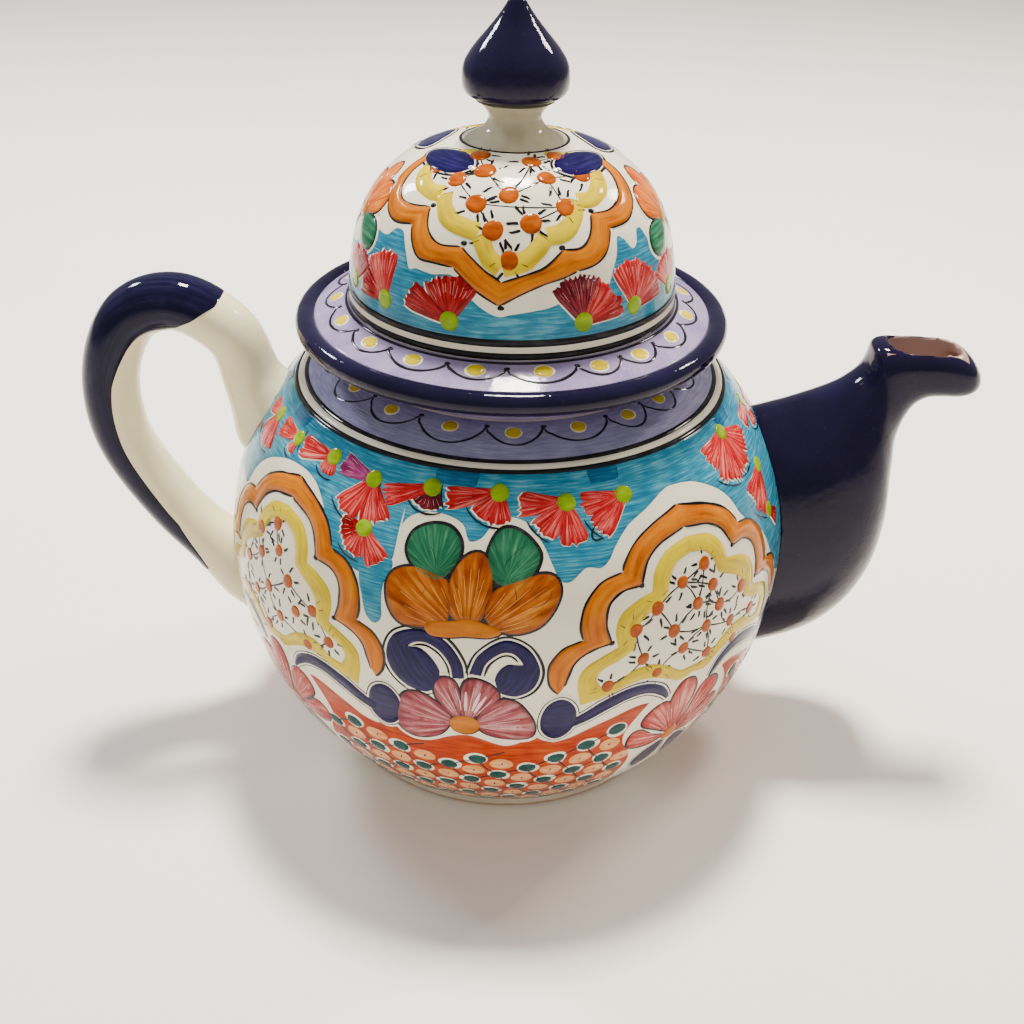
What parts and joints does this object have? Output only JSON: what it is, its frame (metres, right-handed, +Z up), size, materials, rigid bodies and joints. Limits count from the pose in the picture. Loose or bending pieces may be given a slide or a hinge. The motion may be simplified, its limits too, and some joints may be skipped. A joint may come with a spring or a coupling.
{
  "type": "teapot",
  "caption": "Round painted earthenware teapot with a beak-shaped spout, a looped handle and a lift-off domed lid with an onion knob.",
  "frame": {"origin": "on the table plane, midway between the spout's tip and the outside of the handle; the pot's own axis is 5.75 mm towards the handle, at x = -0.00575", "axes": "+X towards the spout's tip, +Z up along the pot's axis, +Y to the left of someone looking along +X"},
  "size_m": [0.266, 0.17, 0.2264],
  "materials": {
    "painted_white_glaze": "gloss",
    "foot_white_glaze": "gloss",
    "neck_glaze": "gloss",
    "spout_cobalt_glaze": "gloss",
    "handle_cream_glaze": "gloss",
    "flange_lilac_glaze": "gloss",
    "bead_cobalt_glaze": "gloss",
    "dome_painted_glaze": "gloss",
    "collar_white_glaze": "satin",
    "stem_white_glaze": "gloss",
    "bulb_cobalt_glaze": "gloss"
  },
  "bodies": {
    "pot": {"pot_floor": "painted_white_glaze", "belly_lower": "painted_white_glaze", "belly_middle": "painted_white_glaze", "belly_upper": "painted_white_glaze", "pot_shoulder": "painted_white_glaze", "foot_ring": "foot_white_glaze", "neck_collar": "neck_glaze", "spout": "spout_cobalt_glaze", "handle": "handle_cream_glaze", "handle_upper_root": "handle_cream_glaze", "handle_lower_root": "handle_cream_glaze"},
    "lid": {"lid_dome": "dome_painted_glaze", "lid_flange": "flange_lilac_glaze", "lid_rim_bead": "bead_cobalt_glaze", "lid_locating_collar": "collar_white_glaze", "finial_stem": "stem_white_glaze", "finial_bulb": "bulb_cobalt_glaze"}
  },
  "joints": [
    {"name": "lid_lift", "type": "slide", "parent": "pot", "child": "lid", "axis": [0, 0, 1], "range_m": [0, 0.06]}
  ]
}
